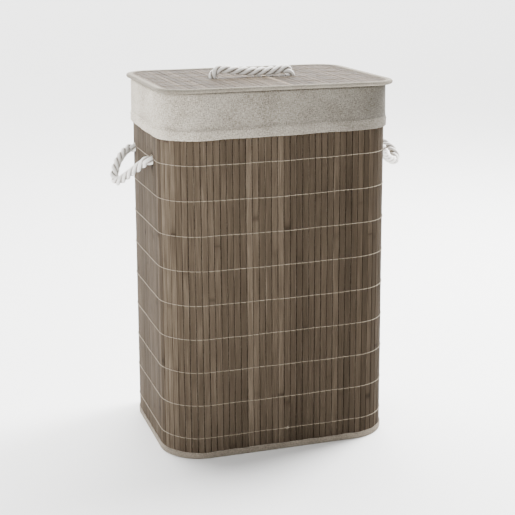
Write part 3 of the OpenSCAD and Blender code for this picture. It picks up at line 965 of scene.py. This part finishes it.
def cuff():
    """Liner's top, folded over the rim. It hangs outside the wall with a sewn hem."""
    ring = outline(BODY_W, BODY_D, CORNER_R, 2.6)
    points, normals, along = ring
    across_w, across_d = points[:, 0] / (BODY_W / 2), points[:, 1] / (BODY_D / 2)
    low = CUFF_Z + 3.2 + 1.2 * across_w + 1.3 * across_d * (1 - across_w) \
        + 0.4 * wave(along, (160.0, 77.0), 9)
    sway = wave(along, (340.0, 150.0, 95.0), 21)
    crease = wave(along, (61.0, 37.0, 24.0), 22)
    pucker = wave(along, (11.0, 16.0, 8.5), 23)
    loose = SWAY * sway + CREASE * crease
    rows = [(part, k) for part, shares in (
        ("in", np.linspace(0, 1, 6)), ("over", np.linspace(0, 1, 7)[1:-1]),
        ("out", np.linspace(0, 1, 14)), ("hem", np.linspace(0, 1, 9)[1:]),
        ("under", np.linspace(0, 1, 5)[1:]), ("back", np.linspace(0, 1, 10)[1:]),
    ) for k in shares]
    face_out = CUFF_FACE + CLOTH_GAP
    hem_top = low + HEM_H
    offsets, heights, across, mark = [], [], [], []
    run = 0.0
    for part, k in rows:
        if part == "in":
            z = np.full_like(along, JOIN_Z + k * (CUFF_BEND_Z - JOIN_Z))
            out = np.full_like(along, -NECK_OUT)
        elif part == "over":
            width = NECK_OUT + face_out - lean(RIM_Z)
            turn = math.pi * (1 - k)
            z = CUFF_BEND_Z + 3.2 * math.sin(turn) ** 0.45 + 0 * along
            out = -NECK_OUT + width * (0.5 + 0.5 * math.cos(turn)) + 0 * along
        elif part == "out":
            z = CUFF_BEND_Z * (1 - k) + (hem_top + 0.6) * k
            out = face_out - lean(z) + k ** 1.2 * (0.8 + loose) \
                + 0.25 * pucker * np.exp(-((1 - k) / 0.16) ** 2) \
                - 0.2 * math.exp(-((1 - k) / 0.05) ** 2)
        elif part == "hem":
            z = hem_top * (1 - k) + low * k
            bulge = 0.95 * min(1.0, k * 4) ** 0.8
            out = face_out - lean(z) + bulge + 0.8 + loose + (0.30 - 0.22 * k) * pucker + 0.5 * k
        elif part == "under":
            z = low - 0.7 * math.sin(math.pi * k)
            out = CUFF_FACE + 3.65 - lean(low) - 2.6 * k + loose
        else:
            z = low * (1 - k) + (CUFF_TOP_Z - 4.5) * k
            out = CUFF_FACE - lean(z) + (1 - k) * (0.5 + 0.5 * sway + 0.2 * crease)
        offsets.append(out)
        heights.append(z)
        # Painted shade in the fold at the top of the hem.
        mark.append(0.12 if part == "out" and k > 0.97 else 0.0)
        if across:
            step = np.hypot(offsets[-1] - offsets[-2], heights[-1] - heights[-2])
            run += float(np.mean(step))
        across.append(run)
    # Painted light and shade: the cuff is lighter towards the left and at its corner, and darker
    # towards the right.
    painted_light_and_shade = PAINTED_LIGHT_MIDDLE - PAINTED_SHADE_RIGHT * across_w \
        + PAINTED_LIGHT_LEFT_CORNER * np.clip(-across_w - 0.6, 0, 0.4) / 0.4
    in_hem = np.array([HEM_LIFT if part in ("hem", "under") else 0.0 for part, _ in rows])
    shape = Shape()
    swept(shape, ring, np.array(offsets).T, np.array(heights).T, np.array(across),
          tone=painted_light_and_shade[:, None] + in_hem[None, :], mark=np.array(mark)[None, :], closed=False)
    made = piece(shape, "liner_cuff_look", CUFF_CLOTH, "liner", ("liner_cuff",))
    sewn = Shape()
    stitch_ring = (points - normals * lean(CUFF_Z + HEM_H), normals, along)
    stitches(sewn, stitch_ring, CUFF_FACE + 3.0, CUFF_Z + HEM_H - 1.9,
             length=2.6, space=1.3, radius=0.22)
    piece(sewn, "liner_cuff_stitches", CUFF_CLOTH, "liner")


cuff()


def liner_bag():
    """Cloth bag inside the wall, hanging from the cuff, with soft upright folds."""
    ring = outline(BODY_W, BODY_D, CORNER_R, 4.0)
    along = ring[2]
    folds = 0.5 + 0.5 * wave(along, (118.0, 64.0, 41.0), 31)
    fine = 0.5 + 0.5 * wave(along, (29.0, 19.0), 32)
    stations = [(NECK_INSET, JOIN_Z + 1), (NECK_INSET, 545), (NECK_INSET + 0.6, 532), (17, 518),
                (BAG_INSET - 0.3, 506)]
    stations += [(BAG_INSET + 0.4, z) for z in np.linspace(480, 40, 14)]
    stations += [(BAG_INSET + 0.4, 20), (BAG_INSET + 0.8, 11), (BAG_INSET + 3, BAG_FLOOR_Z + 1.3),
                 (BAG_INSET + 8, BAG_FLOOR_Z + 0.5), (BAG_INSET + 30, BAG_FLOOR_Z + 0.4)]
    offsets, heights = [], []
    for inset, z in stations:
        loose = math.sin(math.pi * min(1, max(0, (560 - z) / 555))) ** 0.7
        offsets.append(-inset - loose * (3.4 * folds + 1.0 * fine))
        heights.append(z + 0 * along)
    across = distances(np.array(stations))
    shape = Shape()
    swept(shape, ring, np.array(offsets).T, np.array(heights).T, across, closed=False)
    last = len(stations) - 1
    shape.faces.append([i * len(stations) + last for i in range(len(along))])
    made = piece(shape, "liner_bag_look", CUFF_CLOTH, replaces=("liner_bag",))
    thicken(made, BAG_CLOTH_T, offset=0.0)
    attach(made, "liner")


liner_bag()


# ---- lid

def panel_end(x, inset):
    """Half the depth of the lid inside an inset, at a distance from its middle."""
    r = LID_R - inset
    over = np.clip(np.abs(x) - (LID_W / 2 - LID_R), 0, r)
    return LID_D / 2 - LID_R + np.sqrt(r * r - over * over)


def lid_slats():
    """Slats of the lid, front to back, their ends cut to the lid's outline."""
    shape = Shape()
    for i in range(LID_COUNT):
        rng = random.Random(LID_SEED + i)
        middle = LID_PITCH * (i + 0.5 - LID_COUNT / 2)
        width = SLAT_W + rng.uniform(-0.20, 0.25)
        stations, across, out, mark, edge = slat_grid(LID_D, width, LID_SLAT_T, rng)
        x = middle + across
        y = (stations[:, None] / LID_D * 2 - 1) * panel_end(np.abs(x), PANEL_INSET)
        points = np.stack([x, y, LID_TOP_Z - 0.1 + out], axis=-1)
        flow = np.stack([across, y + 900 * rng.random(), np.full_like(across, 53.0 * i)], axis=-1)
        tone = min(1.0, max(0.0, rng.gauss(0.42, 0.15)))
        # Painted highlight: the edge band, made stronger here, is added to the slat's tone.
        tone = np.clip(tone + 1.6 * edge, 0, 1)
        shape.grid(points, flow, tone, mark, close_columns=True, caps=True)
    made = piece(shape, "lid_slats_look", BAMBOO, replaces=("lid_slats",))
    drill(made, [((x, 0, LID_TOP_Z), (0, 0, 1), HOLE_R) for x in LID_HOLES_X])
    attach(made, "lid")


lid_slats()


def lid_threads():
    """Rows of lashing over and under the lid's slats."""
    shape = Shape()
    for row in range(4):
        y = (row - 1.5) * ROW_PITCH
        reach = LID_W / 2 - FLANGE_END - 1
        over = (LID_TOP_Z + 0.2, LID_TOP_Z - 0.2)
        under = (LID_SLAT_Z - 0.5, LID_SLAT_Z + 0.3)
        for face, dip in (over, under):
            points = []
            for i in range(LID_COUNT):
                x = LID_PITCH * (i + 0.5 - LID_COUNT / 2)
                points += [(x + a, y, face) for a in (-3.4, 0, 3.4)]
                points.append((x + LID_PITCH / 2, y, dip))
            path = np.array([p for p in points if abs(p[0]) < reach])
            tube(shape, smooth_route(path, 3), 0.7 * THREAD_R, THREAD_SIDES)
    piece(shape, "lid_lashing_look", THREAD, "lid", ("lid_lashing_threads",))


lid_threads()


def lid_binding():
    """Cloth piping round the lid's edge, with a stitched flange above and below."""
    ring = outline(LID_W, LID_D, LID_R, 2.4)
    along = ring[2]
    pucker = 0.16 * wave(along, (7.0, 11.0, 17.0), 41)
    soft = 0.30 * wave(along, (210.0, 90.0, 47.0), 42)
    top_z = LID_TOP_Z + 0.1
    section = [  # outward, height, share of the pucker and of the soft waves
        (-FLANGE_END, top_z, 0.3), (-FLANGE_END - 0.2, top_z + 0.4, 0.5),
        (-FLANGE_END + 0.4, top_z + 0.7, 1), (-8.6, top_z + 0.8, 1), (-7.8, top_z + 0.7, 0.5),
        (-6.6, top_z + 1.0, 0.6), (-5.2, top_z + 1.2, 0.7),
    ]
    for a in range(75, -91, -15):
        section.append((-BEAD_R + BEAD_R * math.cos(math.radians(a)),
                        LID_Z + BEAD_R + BEAD_R * math.sin(math.radians(a)), 0.8))
    section += [(-8.5, LID_Z, 0.2), (-FLANGE_END, LID_Z, 0.2), (-FLANGE_END, LID_Z + 0.7, 0.2),
                (-7.0, LID_Z + 0.7, 0)]
    offsets = np.array([[o + s * (0.6 * p + 0.5 * q) for o, _, s in section]
                        for p, q in zip(pucker, soft)])
    heights = np.array([[z + s * p * 0.7 for _, z, s in section] for p in pucker])
    across = distances(np.array(section)[:, :2])
    shape = Shape()
    swept(shape, ring, offsets, heights, across)
    piece(shape, "lid_edge_binding_look", PALE_TAPE, "lid", ("lid_edge_binding",))
    sewn = Shape()
    stitches(sewn, ring, -8.3, top_z + 0.85, radius=0.22, flat=True)
    piece(sewn, "lid_binding_stitches", PALE_TAPE, "lid")


lid_binding()


def lid_lining():
    """Cloth under the lid's board."""
    steps = np.linspace(-1, 1, 60)
    inset = PANEL_INSET + 0.5
    x = np.repeat(steps[:, None] * (LID_W / 2 - inset), len(steps), 1)
    y = steps[None, :] * panel_end(np.abs(x), inset)
    ease = np.outer(1 - steps ** 4, 1 - steps ** 4)
    z = LID_Z + 1.0 - ease * (0.35 + 0.25 * wave(x + 0.6 * y, (90.0, 55.0), 61))
    shape = Shape()
    shape.grid(np.stack([x, y, z], axis=-1), np.stack([x, y, 0 * x], axis=-1))
    made = piece(shape, "lid_lining_look", CUFF_CLOTH, replaces=("lid_lining",))
    thicken(made, LINING_T)
    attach(made, "lid")


lid_lining()


# ---- studio

BACK_LEVEL = 17.0  # strength of the surround behind the hamper
FRONT_LEVEL = 0.5
FADE_FROM, FADE_TO = 0.2, 0.85  # directions between which the one turns into the other
FADE_ASIDE = 0.12
LAMPS = (  # name, power, size, place and aim in metres
    ("key", 24.0, 0.7, (-1.35, -1.15, 1.1), (-0.1, 0, 0.25)),
    ("top", 290.0, 1.1, (1.6, 0.6, 2.3), (0, 0, 0.2)),
)


def surround():
    """White surround, bright behind the hamper and dim in front of it."""
    world = bpy.data.worlds.new("surround")
    world.use_nodes = True
    nodes, links = world.node_tree.nodes, world.node_tree.links
    coordinates = nodes.new("ShaderNodeTexCoord")
    split = nodes.new("ShaderNodeSeparateXYZ")
    links.new(coordinates.outputs["Generated"], split.inputs[0])
    aside = nodes.new("ShaderNodeMath")
    aside.operation = "MULTIPLY"
    aside.inputs[1].default_value = FADE_ASIDE
    links.new(split.outputs["X"], aside.inputs[0])
    ahead = nodes.new("ShaderNodeMath")
    ahead.operation = "ADD"
    links.new(split.outputs["Y"], ahead.inputs[0])
    links.new(aside.outputs[0], ahead.inputs[1])
    fade = nodes.new("ShaderNodeMapRange")
    fade.interpolation_type = "SMOOTHSTEP"
    for name, value in (("From Min", FADE_FROM), ("From Max", FADE_TO),
                        ("To Min", FRONT_LEVEL), ("To Max", BACK_LEVEL)):
        fade.inputs[name].default_value = value
    links.new(ahead.outputs[0], fade.inputs["Value"])
    back = nodes["Background"]
    back.inputs["Color"].default_value = (1.0, 1.0, 0.995, 1.0)
    links.new(fade.outputs["Result"], back.inputs["Strength"])
    bpy.context.scene.world = world


def studio():
    """Pale floor, the surround and two lamps."""
    bpy.ops.mesh.primitive_plane_add(size=80.0)
    floor = bpy.context.object
    floor.name = "floor"
    floor.data.materials.append(floor_material())
    surround()
    for name, power, size, place, aim in LAMPS:
        light = bpy.data.lights.new(name, "AREA")
        light.energy = power
        light.shape = "DISK"
        light.size = size
        lamp = bpy.data.objects.new(name, light)
        place = Vector(place)
        turn = (Vector(aim) - place).to_track_quat("-Z", "Y").to_matrix().to_4x4()
        lamp.matrix_world = Matrix.Translation(place) @ turn
        bpy.context.scene.collection.objects.link(lamp)


studio()
